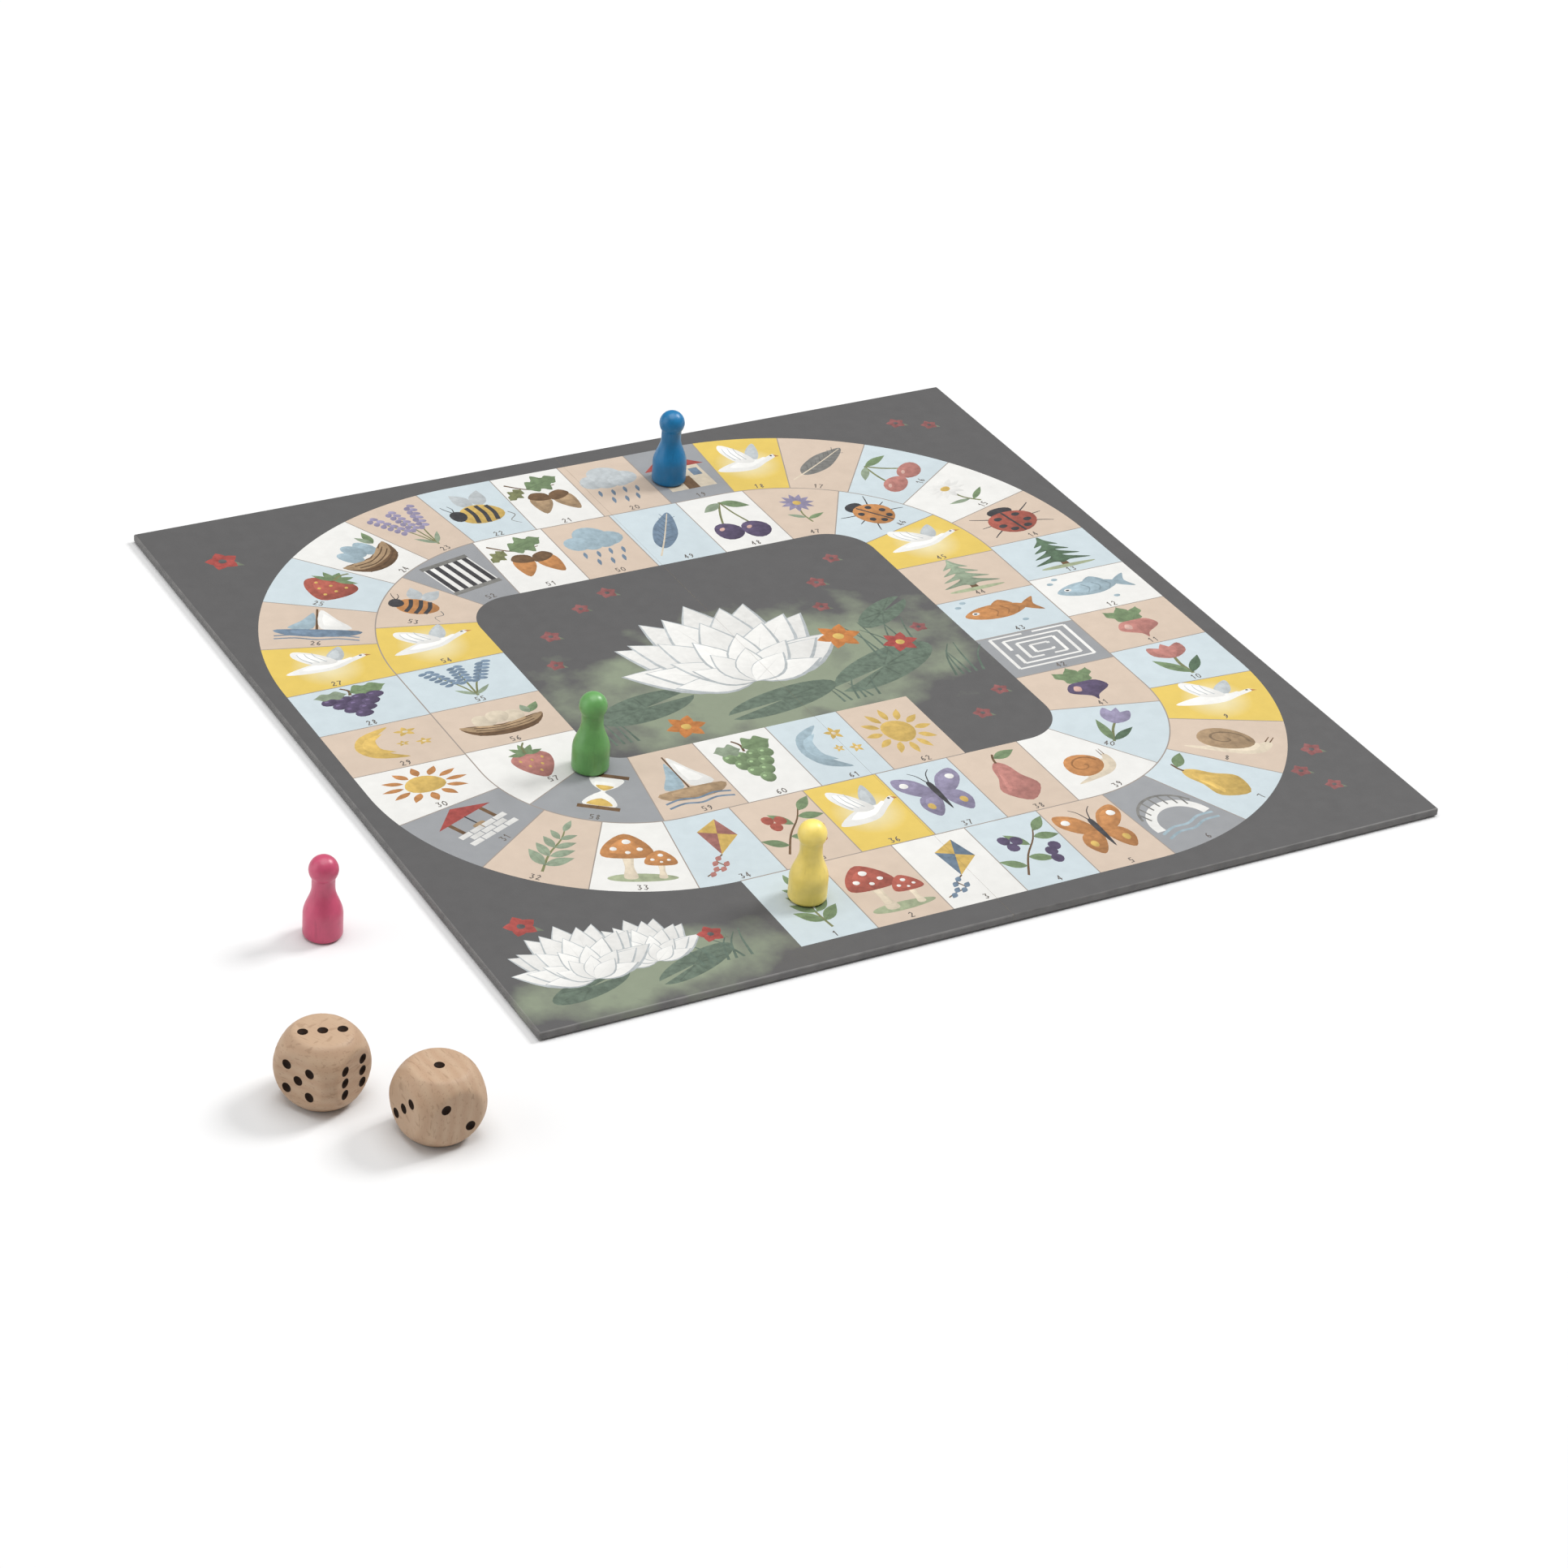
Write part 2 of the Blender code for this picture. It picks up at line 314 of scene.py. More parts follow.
def butterfly(pen, tint):
    for side in (-1, 1):
        own = pen.at(0, 0, 0, side, 1)
        own.form(".4,.6 3,6.4 8.2,8.4 9,4.6 5,.4", tint, 0.2)
        own.form(".4,.2 5.2,.2 7,-3.6 4.6,-7.6 1.6,-4.6", tint * 0.86, 0.2)
        own.blob(6.6, 5.4, 1.2, 1, WHITE)
        own.blob(4.6, -3.6, 1, 1.2, GOLD)
        own.line(".3,5 1.4,7.8 3,9.4", 0.35, DARK)
    pen.form(mirrored(".7,4.6 .8,0 0,-6"), DARK)


def fish(pen, tint):
    pen.form("5,.3 9.4,4.6 8.2,.2 9.4,-4.2", tint * 0.82)
    pen.form("-1.5,3 1.5,6.4 4,2.4", tint * 0.9)
    pen.form("-9.2,0 -5,3.7 1.5,4 6.6,.5 1.5,-3.8 -5,-3.5", tint, 0.22)
    for x in (-2.2, 0.6, 3.2):
        pen.line(((x, 2.7), (x + 1.2, 0), (x, -2.6)), 0.4, tint * 0.72, 0.8)
    pen.blob(-6.2, 0.9, 0.9, 0.9, WHITE)
    pen.blob(-6.3, 0.9, 0.45, 0.45, DARK)
    for x, y in path("-8.6,6.2 -6.6,8.4 3,-7.6"):
        pen.blob(x, y, 0.8, 0.8, SKY)


def tulip(pen, tint):
    pen.line(".2,-9.5 -.4,-3 .3,3", 0.9, STEM, 0.8)
    pen.leaf(0, -9, 118, 12, LEAF, 0.26)
    pen.leaf(0.2, -9, 60, 10, PINE, 0.28)
    pen.form(mirrored("0,6.6 3.9,8.6 4.1,3.6 0,.6"), tint, 0.15)
    pen.leaf(0, 0.8, 90, 8.8, tint * 1.12, 0.44, 0.86)


def daisy(pen, tint):
    pen.line("1.2,-9.5 -.4,-4 0,2", 0.6, STEM, 0.9)
    pen.leaf(0.4, -7.4, 28, 7, LEAF, 0.3)
    pen.leaf(0.1, -6.4, 152, 6.4, SAGE, 0.3)
    pen.bloom(0, 3.6, 5.9, 11, tint, GOLD, 0.36)


def pear(pen, tint):
    pen.form(mirrored("0,6.4 2.2,4.4 3.2,.4 5.4,-4.6 0,-9.4"), tint, 0.24)
    pen.form("-1.4,3.4 -2.6,-1.4 -3.9,-4.6 -2.2,-4 -.9,0", tint * 1.25)
    pen.line("0,6 .3,7.6 1.2,9.4", 0.7, BARK, 0.8)
    pen.leaf(0.6, 7.8, 14, 7.2, LEAF)


def snail(pen, tint):
    pen.form("-9.2,-7.6 -4,-6.2 3,-6 6,-2 8.2,.8 9.2,-1.2 7.4,-6 2,-8.4", SHELL)
    pen.blob(-0.8, -0.6, 6.2, 5.8, tint, lift=0.2)
    turns = [(i, 0.62 * i) for i in range(12)]
    coil = [((5.2 - 0.42 * i) * cos(a) - 0.8, (4.8 - 0.4 * i) * sin(a) - 0.6) for i, a in turns]
    pen.line(coil, 0.7, tint * 0.62, 0.6)
    for x in (8, 9):
        pen.line(((x - 0.4, 0.2), (x, 2), (x + 0.3, 3.4)), 0.35, BARK)


def feather(pen, tint):
    own = pen.at(-6, -8.5, 56)
    own.form("2.5,0 5,2.6 12,3.2 18,1.4 20.6,0 18,-1.8 11,-3.4 5,-2.2", tint, 0.18)
    for x in range(5, 18, 2):
        for side in (1, -1):
            own.line(((x, 0), (x + 1.2, 1.2 * side), (x + 2.2, 2.1 * side)), 0.3, tint * 0.76)
    own.line("-1.5,.4 8,0 20,0", 0.5, SHELL)


def raincloud(pen, tint):
    for x, y, size in path("-4.8,2.4,3.8 4.8,2.6,3.9 .2,4.8,5 -1.2,1.4,3.4 2.8,1.4,3.2"):
        pen.blob(x, y, size, size * 0.82, tint, lift=0.1)
    for x, y in path("-5.6,-3 -1.8,-3.4 2,-3 5.6,-3.4 -3.6,-6.8 .2,-7.2 3.8,-6.8"):
        pen.leaf(x + 0.4, y + 1.4, -104, 3.2, BLUE, 0.34, 0)


def radish(pen, tint):
    for turn, length in path("118,9.6 92,10 64,9.2"):
        pen.leaf(0, 0.4, turn, length, LEAF, 0.38, 0.8, 2)
    pen.form([(-0.2, -9.6), *mirrored("1,-7 4.8,-3.4 3.4,.8 0,1.4")], tint, 0.24)
    pen.form("-2.6,-.4 -3.4,-2.8 -2,-3.6 -1.4,-1.4", PINK)


def fir(pen, tint):
    pen.fill("-1,-9.5 1,-9.5 .7,-5 -.7,-5", BARK)
    pen.blob(0, -9.2, 7, 1, GRASS)
    for level in range(4):
        low, wide = 3.7 * level - 6.6, 7.2 - 1.35 * level
        half = ((0, low + 6), (wide * 0.34, low + 3.2), (wide, low), (wide * 0.3, low + 0.7), (0, low - 0.4))
        pen.form(mirrored(half), tint * (0.84 + 0.09 * level), 0.12)


def waves(pen, levels, wide, colour):
    for y in levels:
        pen.line(((-9, y), (-4.5, y + 0.8), (0, y), (4.5, y + 0.8), (9, y)), wide, colour, 1)


def boat(pen, tint):
    pen.line("0,-4 0,2 0,9.4", 0.6, BARK, 0.8)
    pen.form(".7,8.8 .8,-2.6 7.4,-2.6 4.2,3.2", WHITE * 0.93)
    pen.form("-.7,7 -.8,-2.6 -6.2,-2.6 -3.2,2.2", SKY)
    pen.form("-8.4,-3.6 8.8,-3.6 6,-7.2 -5.6,-7.2", tint, 0.16)
    waves(pen, (-7.6, -9.4), 0.6, BLUE)


def sun(pen, tint):
    for angle in range(0, 360, 30):
        pen.leaf(*spoke(angle) * 4.6, angle, 4.8, tint, 0.4, 0)
    pen.blob(0, 0, 4.4, 4.4, GOLD, lift=0.16)


def moon(pen, tint):
    pen.form("1.8,8.8 -5,6.2 -7.6,0 -5,-6.2 1.8,-8.8 -1.8,-4.6 -2.8,0 -1.8,4.6", tint, 0.2)
    for x, y, size in path("4.6,4.4,2.6 6.8,-2.4,1.9 2.4,-1.4,1.5"):
        pen.bloom(x, y, size, 5, GOLD, SHELL, 0.5, 18)


def ladybird(pen, tint):
    for side in (-1, 1):
        for y, turn in path("3,24 -.5,0 -4,-24"):
            pen.at(0, 0, 0, side, 1).line(((4.4, y), (7, y + turn / 12), (8.6, y + turn / 7)), 0.5, DARK)
    pen.blob(0, 5.6, 3.4, 2.8, DARK)
    pen.blob(0, -1.4, 6.2, 6.8, tint, lift=0.24)
    pen.line("0,5 0,-1 0,-8", 0.6, DARK, 1)
    for x, y in path("2.6,2 3.6,-2.4 1.9,-5.6"):
        for side in (-1, 1):
            pen.blob(side * x, y, 1.1, 1.1, DARK)


def nest(pen, tint):
    pen.form(mirrored("0,-2.6 9,-.6 6.6,-6.4 0,-8.4"), BARK, 0.16)
    for x, y, turn in path("-3.4,.6,14 3.2,.6,-12 0,1.8,0"):
        pen.blob(x, y, 2.5, 3.4, tint, turn, 0.2)
    pen.form(mirrored("0,-3.6 9.2,-.4 6.4,-4.6 0,-5.8"), TAN, 0.12)
    for y in (-2.8, -4.2, -5.8, -7):
        pen.line(((-6.5, y + 0.6), (-2, y - 1), (3, y - 0.6), (6.8, y + 0.8)), 0.4, BARK * 0.7, 0.7)
    pen.leaf(6.8, 0.4, 58, 6, LEAF)
    pen.leaf(6.8, 0.4, 96, 5, SAGE)


def lavender(pen, tint):
    for lean in (-0.34, 0, 0.34):
        pen.line(((0, -9.5), (lean * 5, -3), (lean * 14, 4)), 0.5, STEM, 0.8)
        for i in range(6):
            x, y = lean * (9 + 2 * i), -1.2 + 1.75 * i
            pen.blob(x - 0.9, y, 1.1, 0.8, tint, 30)
            pen.blob(x + 0.9, y + 0.6, 1.1, 0.8, tint * 1.18, -30)
    for turn in (130, 48):
        pen.leaf(0, -9, turn, 6, SAGE, 0.24)


def kite(pen, tint):
    own = pen.at(1.8, 3.2, -24)
    corners = path("0,6.6 -4.8,1 0,-7 4.8,1")
    for i in range(4):
        own.fill((corners[i], corners[(i + 1) % 4], (0, 1)), tint * 0.8 if i % 2 else GOLD)
    tail = path("-1,-3.2 -3.6,-5 -2.8,-7.4 -6.2,-8.4 -8.8,-9.4")
    pen.line(tail, 0.4, BARK, 0.8)
    for x, y in tail[1:4]:
        for turn in (40, 220):
            pen.leaf(x, y, turn, 2.4, tint, 0.6, 0)


def grapes(pen, tint):
    pen.line("0,5 .4,7.6 -1,9.6", 0.7, BARK, 0.8)
    pen.leaf(0.2, 6.4, 8, 8.6, LEAF, 0.7, 0.8, 2)
    for row in range(4):
        for i in range(4 - row):
            x, y = 3.3 * (i - (3 - row) / 2), 3.2 - 3 * row
            pen.blob(x, y, 2, 2, tint, lift=0.34)
            pen.blob(x - 0.6, y + 0.7, 0.5, 0.4, tint * 2.2)
    pen.leaf(-0.4, 6.2, 176, 7.4, SAGE, 0.6, 0.8, 2)


def bee(pen, tint):
    for x, turn in path("-.4,118 1.2,66"):
        pen.leaf(x, 1.6, turn, 8, MIST, 0.6, 0.9)
    pen.blob(0, -2, 6.6, 4.4, tint, lift=0.2)
    for x in (-2.6, 0.4, 3.2):
        reach = 4.1 * sqrt(1 - (x / 6.6) ** 2)
        pen.line(((x, reach - 2), (x + 0.7, -2), (x, -reach - 2)), 1.3, DARK, 1)
    pen.blob(-6.4, -1.4, 2.4, 2.5, DARK)
    for x in (-8.4, -6.4):
        pen.line(((-6.8, 0.4), (x, 2.4), (x - 0.8, 4)), 0.35, DARK)
    pen.line("7.4,-3 8.6,-5 6.4,-7 8.4,-9", 0.35, STONE)


def strawberry(pen, tint):
    pen.form(mirrored("0,3.6 3.2,4.2 6,1.2 4.6,-4.4 0,-9.4"), tint, 0.24)
    for x, y in path("-3.4,.6 0,.2 3.4,.6 -2,-2.6 1.8,-2.6 0,-5.6"):
        pen.blob(x, y, 0.4, 0.65, GOLD)
    for turn in (8, 50, 90, 130, 172):
        pen.leaf(0, 3.6, turn, 5.4, LEAF, 0.4)
    pen.line("0,4 .4,7 2,9.4", 0.7, STEM, 0.8)


# Signs of the game's own spaces
def goose(pen):
    pen.form(".4,1 1.2,5.6 4.4,9.4 4.8,5 3.4,1.4", MIST)
    pen.form("-9.4,-3.2 -4,.4 1,1.4 5,1.6 8.4,3.4 9.1,2.2 5.6,-.4 1.4,-3.4 -4.6,-4.2", WHITE)
    pen.form("-2.6,.4 -6.2,6 -5.4,9.4 -.6,6.2 2.6,.6", WHITE)
    for x in (-4.6, -3, -1.4):
        pen.line(((x + 1.8, 1.6), (x, 5), (x - 0.4, 7.6)), 0.35, MIST)
    pen.fill("8.6,3.3 10.2,2.3 9,2", ORANGE)
    pen.blob(7.9, 2.7, 0.35, 0.35, DARK)


def bridge(pen):
    waves(pen, (-8, -6), 0.7, SKY)
    arch = [(8.2 * cos(radians(180 - 18 * i)), 7 * sin(radians(18 * i)) - 5) for i in range(11)]
    rail = [(1.1 * x, 1.16 * y + 3.4) for x, y in arch]
    pen.line(arch, 2.6, WHITE, 1)
    pen.line(rail[1:-1], 0.7, STONE, 1)
    for (x, y), top in zip(arch[2:-2], rail[2:-2]):
        pen.line(((x, y), (1.05 * x, y + 1.8), top), 0.5, STONE, 1)


def inn(pen):
    pen.bar(3.4, 5.2, 5, 9.6, ROSE)
    pen.bar(-7, 7, -8.4, 3, SHELL)
    pen.fill("-9.2,2.4 9.2,2.4 0,9.4", POPPY, 0.2)
    pen.bar(-1.8, 1.8, -8.4, -2.4, BARK)
    for x in (-4.6, 4.6):
        pen.bar(x - 1.4, x + 1.4, -2.6, 0.8, BLUE)


def well(pen):
    for x in (-4.6, 4.6):
        pen.bar(x - 0.5, x + 0.5, -4, 4.6, BARK)
    pen.fill("-7.6,3.8 7.6,3.8 0,9.6", POPPY, 0.2)
    pen.line("0,4 0,1 0,-1.4", 0.4, DARK, 1)
    pen.form("-1.4,-1 1.4,-1 1.1,-3.4 -1.1,-3.4", TAN)
    for row in range(3):
        for i in range(4 - row % 2):
            x, y = 3.4 * (i - (3 - row % 2) / 2), -8.4 + 2.2 * row
            pen.bar(x - 1.55, x + 1.55, y, y + 1.9, WHITE * 0.85)


def maze(pen):
    for ring in range(4):
        r, gap = 9.4 - 2.4 * ring, 1.3
        run = ((gap, r), (r, r), (r, -r), (-r, -r), (-r, r), (-gap, r))
        pen.at(0, 0, 90 * ring).strokes(run, 0.8, WHITE)


def prison(pen):
    pen.bar(-8.4, 8.4, -9.4, 9.4, WHITE)
    for x in (-7, -3.5, 0, 3.5, 7):
        pen.bar(x - 0.9, x + 0.9, -9.4, 9.4, DARK)
    for y in (-8.8, 8.8):
        pen.bar(-8.8, 8.8, y - 1, y + 1, STONE)


def hourglass(pen):
    pen.form(mirrored("4.6,7.6 3.6,3.2 .5,0 3.6,-3.2 4.6,-7.6"), WHITE)
    pen.form("-2.6,3.2 2.6,3.2 0,.6", GOLD)
    pen.form("-3.8,-7.2 3.8,-7.2 0,-3.6", GOLD)
    for y in (-8.6, 8.6):
        pen.bar(-6.2, 6.2, y - 0.9, y + 0.9, BARK)


SIGNS = {6: bridge, 19: inn, 31: well, 42: maze, 52: prison, 58: hourglass}
ORDINARY = [value for value in range(1, SPACES + 1) if value % GOOSE_EVERY and value not in SIGNS]
MOTIFS = (
    sprig, toadstools, kite, berries, butterfly, pear, snail, tulip, radish, fish, fir, ladybird, daisy,
    cherries, feather, raincloud, acorns, bee, lavender, nest, strawberry, boat, grapes, moon, sun,
)
TINTS = (
    (LEAF, RED, BLUE, PLUM, ORANGE, GOLD, TAN, ROSE, ROSE, SKY, PINE, RED, WHITE * 0.92,
     ROSE, STONE, MIST, TAN, GOLD, LILAC, SKY, RED, BLUE, PLUM, GOLD, ORANGE),
    (SAGE, ORANGE, ROSE, RED, LILAC, ROSE, ORANGE, LILAC, PLUM, ORANGE, SAGE, ORANGE, LILAC,
     PLUM, BLUE, SKY, ORANGE, ORANGE, BLUE, SHELL, ROSE, TAN, LEAF, SKY, GOLD),
)

# Strokes of the plain numerals from 0 to 9 in a unit box
NUMERALS = (
    ".5,1 .1,.75 .1,.25 .5,0 .9,.25 .9,.75 .52,1",
    ".2,.75 .55,1 .55,.5 .55,0",
    ".1,.8 .5,1 .85,.72 .45,.3 .1,.03 .9,0",
    ".1,.95 .75,.9 .45,.55 .88,.3 .5,0 .1,.1",
    ".65,0 .65,1 .1,.32 .95,.3",
    ".85,1 .22,.98 .18,.58 .8,.52 .75,.08 .1,.05",
    ".8,.98 .3,.7 .12,.25 .5,0 .88,.25 .5,.5 .2,.3",
    ".1,1 .9,.98 .5,.45 .35,0",
    ".55,.53 .2,.78 .5,1 .8,.78 .2,.26 .5,0 .8,.26 .45,.53",
    ".85,.7 .5,.5 .15,.75 .5,1 .85,.75 .7,.3 .3,.02",
)
DIGIT_TALL, DIGIT_WIDE, DIGIT_STEP, DIGIT_THICK, DIGIT_LAP = 2.3, 1.25, 1.8, 0.34, 1 / 3


def number(pen, value):
    digits = str(value)
    for i, digit in enumerate(digits):
        left = DIGIT_STEP * (i - len(digits) / 2)
        points = [(left + DIGIT_WIDE * x, DIGIT_TALL * y) for x, y in path(NUMERALS[int(digit)])]
        pen.strokes(points, DIGIT_THICK, NUMBER, DIGIT_LAP)


def track_stretches():
    """Straights by length, start and way; quarter turns by length, middle, angle and radius."""
    stretches, last = [], Vector(TRACK_START)

    def straight(end):
        stretches.append(((end - last).length, last, (end - last).normalized(), None))

    for lap_radius, eased in zip(LAP_RADII, EASED):
        for quarter, (corner, ease) in enumerate(zip(CORNERS, eased)):
            angle = 90 * (quarter - 1)
            out, on = spoke(angle), spoke(angle + 90)
            middle, radius = Vector(corner) - (out + on) * ease, lap_radius + ease
            straight(middle + out * radius)
            stretches.append((radius * pi / 2, middle, angle, radius))
            last = middle + on * radius
    straight(Vector(TRACK_END))
    return stretches


TRACK = track_stretches()
TRACK_LONG = sum(stretch[0] for stretch in TRACK)
SPACE_LONG = TRACK_LONG / SPACES
FIRST_LAP = sum(stretch[0] for stretch in TRACK[:2 * len(CORNERS)])


def on_track(run, offset):
    """Place, outward way and radius at a distance along the track, offset to its outer side."""
    for stretch in TRACK:
        length, start, way, radius = stretch
        if run <= length + 1e-6 or stretch is TRACK[-1]:
            break
        run -= length
    if radius is None:
        out = Vector((way.y, -way.x))
        return start + way * run + out * offset, out, radius
    out = spoke(way + degrees(run / radius))
    return start + out * (radius + offset), out, radius


def track_edge(start, end, side):
    """Places along one edge of the track, close together on the bends."""
    stops, past = {start, end}, 0.0
    for length, _, _, radius in TRACK:
        steps = 1 if radius is None else round(length / ARC_STEP)
        stops.update(past + length * share for share in shares(steps))
        past += length
    return [on_track(stop, side * TRACK_WIDE / 2)[0] for stop in sorted(stops) if start <= stop <= end]


def draw_ground(value):
    """Ground of one space of the track, and the rule at its far end."""
    start, end = (value - 1) * SPACE_LONG, value * SPACE_LONG
    outer, inner = track_edge(start, end, 1), track_edge(start, end, -1)
    outline = outer + inner[::-1]
    ground = GREY if value in SIGNS else YELLOW
    if value in ORDINARY:
        ground = (WHITE, PALE, CREAM)[value % 3]
    put(outline, shaded(ground, SPACE_LIFT, outline))
    if value < SPACES:
        put(ribbon([inner[-1], outer[-1]], RULE_WIDE), plain(RULE))


def draw_halo(pen):
    middle = pen.place.translation.xy
    for share in HALO_SHARES:
        ring = [(pen.place @ (spot * HALO_REACH * share).to_3d()).xy for spot in circle(HALO_STEPS)]
        put(ring, lambda spot: HALO.lerp(YELLOW, min(1, (spot - middle).length / HALO_REACH)))


def draw_space(value):
    """Picture and number of one space of the track."""
    run = (value - 0.5) * SPACE_LONG
    middle, out, radius = on_track(run, 0)
    is_level = abs(out.y) > abs(out.x)
    is_tight = radius is not None and radius < TRACK_WIDE
    up = out if is_level else Vector((-out.y, out.x))
    turn = degrees(atan2(up.y, up.x)) % 180 - 90
    pen = BOARD.at(*(on_track(run, TIGHT_SHIFT)[0] if is_tight else middle), turn)
    lift, wide, tall = FITS[is_tight, is_level]
    own = pen.at(0, lift, 0, wide, tall)
    if value in SIGNS:
        SIGNS[value](own)
    elif value in ORDINARY:
        lap, which = divmod(ORDINARY.index(value), len(MOTIFS))
        MOTIFS[which](own, TINTS[lap % len(TINTS)][which])
    else:
        draw_halo(pen)
        goose(own)
    tall = TRACK_WIDE if is_level else SPACE_LONG
    number(BOARD.at(*middle, turn).at(0, NUMBER_INSET - tall / 2), value)


def draw_track():
    for value in range(SPACES, 0, -1):
        draw_ground(value)
    last_straight = TRACK_LONG - TRACK[-1][0]
    run = track_edge(0.0, FIRST_LAP, -1) + track_edge(last_straight, TRACK_LONG, 1)[1:]
    put(ribbon(run, DIVIDER_WIDE), plain(RULE))
    for value in range(1, SPACES + 1):
        draw_space(value)


# Middle and corner pictures
LILY_ROWS = ((48, 46, 5, 0.9), (45, 66, 6, 0.95), (37, 62, 5, 0.98), (29, 80, 6, 1))


def petal(pen, foot, lean, length, rim, slim, shade):
    """A white petal with a grey rim, leaning from upright."""
    pen.leaf(0, foot, 90 - lean, length, MIST * 0.92, slim, 0)
    pen.leaf(0, foot + 0.4, 90 - lean, length - rim, WHITE * shade, slim - 0.04, 0.93)


def lily(pen):
    """A white water lily, its petals in rows from the back to the front."""
    for reach, spread, count, shade in LILY_ROWS:
        for share in shares(count - 1):
            lean = spread * (2 * share - 1)
            petal(pen, 0, lean, reach * (1 - 0.12 * abs(lean) / 80), 1, 0.44, shade)
    for lean in range(-48, 49, 12):
        tip = spoke(90 - lean)
        pen.line((tip * 4, tip * 8 + Vector((0.3, 0)), tip * 13), 0.9, GOLD, 1.3)
    for lean in (-52, -18, 18, 52):
        petal(pen, -0.6, lean, 20, 0.8, 0.52, 1)


def pad(pen, across, along):
    """A floating leaf with its notch and veins."""
    size = Vector((across, along))
    pen.fill([(0, 0), *(spoke(12 + 14 * i) * size for i in range(25))], PAD, 0.12)
    for angle in range(40, 340, 50):
        tip = spoke(angle) * size
        pen.line((tip * 0.08, tip * 0.5, tip * 0.86), 0.7, PAD * 0.82)


def reeds(pen, count, tall):
    for i in range(count):
        lean = SCATTER.uniform(-0.5, 0.5)
        x, high = 2.4 * (i - count / 2), tall * SCATTER.uniform(0.6, 1.0)
        pen.line(((x, 0), (x + lean * high * 0.4, high * 0.6), (x + lean * high, high)), 0.9, REED, 0.3)


def draw_pictures():
    pads = path("-44,-8,10,17,7 34,-13,-160,21,8 50,16,30,12,5 -4,-19,190,20,6")
    for x, y, turn, across, along in pads:
        pad(BOARD.at(x, y, turn), across, along)
    for x, y, count, tall in ((-58, -24, 5, 15), (44, -8, 7, 22), (20, -27, 6, 12), (58, -26, 5, 18)):
        reeds(BOARD.at(x, y), count, tall)
    lily(BOARD.at(-6, -6))
    for x, y, reach, colour in ((30, 8, 7.5, APRICOT), (-38, -22, 6.5, APRICOT), (46, -2, 6, POPPY)):
        BOARD.bloom(x, y, reach, 6, colour, GOLD, 0.6)
    corner = BOARD.at(-109, -127)
    pad(corner.at(-14, -4, 14), 13, 4.5)
    pad(corner.at(17, -5, -160), 14, 4.5)
    reeds(corner.at(27, -7), 7, 13)
    lily(corner.at(8, 0, 0, 0.44))
    lily(corner.at(-11, -1, 0, 0.56))
    poppies = ("-126,119,5.5 118,126,3.4 128,121,3 119,-112,3.2 129,-103,3.6 124,-122,3 -128,-98,5 "
               "-82,-121,4 -52,40,3.4 -36,52,3 -24,58,3.4 -58,24,3 40,40,3.4 52,52,3 34,26,3 "
               "48,-48,3.2 60,-38,3 56,4,3")
    for x, y, reach in path(poppies):
        BOARD.leaf(x, y, -40, reach * 1.3, WASH * 0.7, 0.36)
        BOARD.bloom(x, y, reach, 5, POPPY if reach > 3.8 else BLOSSOM, GROUND, 0.8, 20)


def print_triangles():
    """Cuts the print into triangles of one paint: for each half, their corners and the paint's number."""
    places, outlines = [], []
    for outline, _, _ in PRINT:
        outlines.append(list(range(len(places), len(places) + len(outline))))
        places += outline
    spots, _, faces, _, _, owners = delaunay_2d_cdt(places, [], outlines, 1, 1e-5)
    halves = {word: [] for word in SIDES}
    for face, owner in zip(faces, owners):
        for sheet, word in enumerate(SIDES):
            if sheet in owner:
                halves[word].append(([spots[i] for i in face], max(owner)))
    return halves


def finished(bm, name):
    """The mesh of a closed body, its faces turned outwards."""
    bmesh.ops.recalc_face_normals(bm, faces=bm.faces)
    made = bpy.data.meshes.new(name)
    bm.to_mesh(made)
    bm.free()
    return made


class Shell:
    """Faces by their corners in millimetres, each with a paint and finish, made into one mesh."""

    def __init__(self):
        self.index, self.faces = {}, []

    def face(self, corners, paint, finish, is_round=False):
        loop = []
        for corner in corners:
            place = tuple(round(value, 4) for value in corner)
            spot = self.index.setdefault(place, len(self.index))
            if spot not in loop:
                loop.append(spot)
        if len(loop) > 2:
            self.faces.append((loop, paint, finish, is_round))

    def mesh(self, name):
        places, bm = list(self.index), bmesh.new()
        spots = [bm.verts.new(Vector(place) * MM) for place in places]
        for loop, _, _, _ in self.faces:
            bm.faces.new([spots[i] for i in loop])
        made = finished(bm, name)
        made.polygons.foreach_set("use_smooth", [face[-1] for face in self.faces])
        colours = made.attributes.new("print", "FLOAT_COLOR", "CORNER").data
        finishes = made.attributes.new("finish", "FLOAT_COLOR", "CORNER").data
        for polygon, (_, paint, finish, _) in zip(made.polygons, self.faces):
            for corner in polygon.loop_indices:
                place = Vector(places[made.loops[corner].vertex_index])
                colours[corner].color = (*paint(place.xy), 1)
                finishes[corner].color = (*finish, 1)
        return made


# Finishes of the sheet: whether the wash shows, how worn and how strongly brushed it is; on the upright
# walls the worn value is partly painted light that brightens them
BARE, WALL_WORN_AND_LIT, WORN, BACK = (1, 0, 0), (1, 0.8, 0), (1, 1, 0), (0, 0, 0)
SHEET_FRONT, SHEET_BACK = plain(GROUND), plain(SHELL)


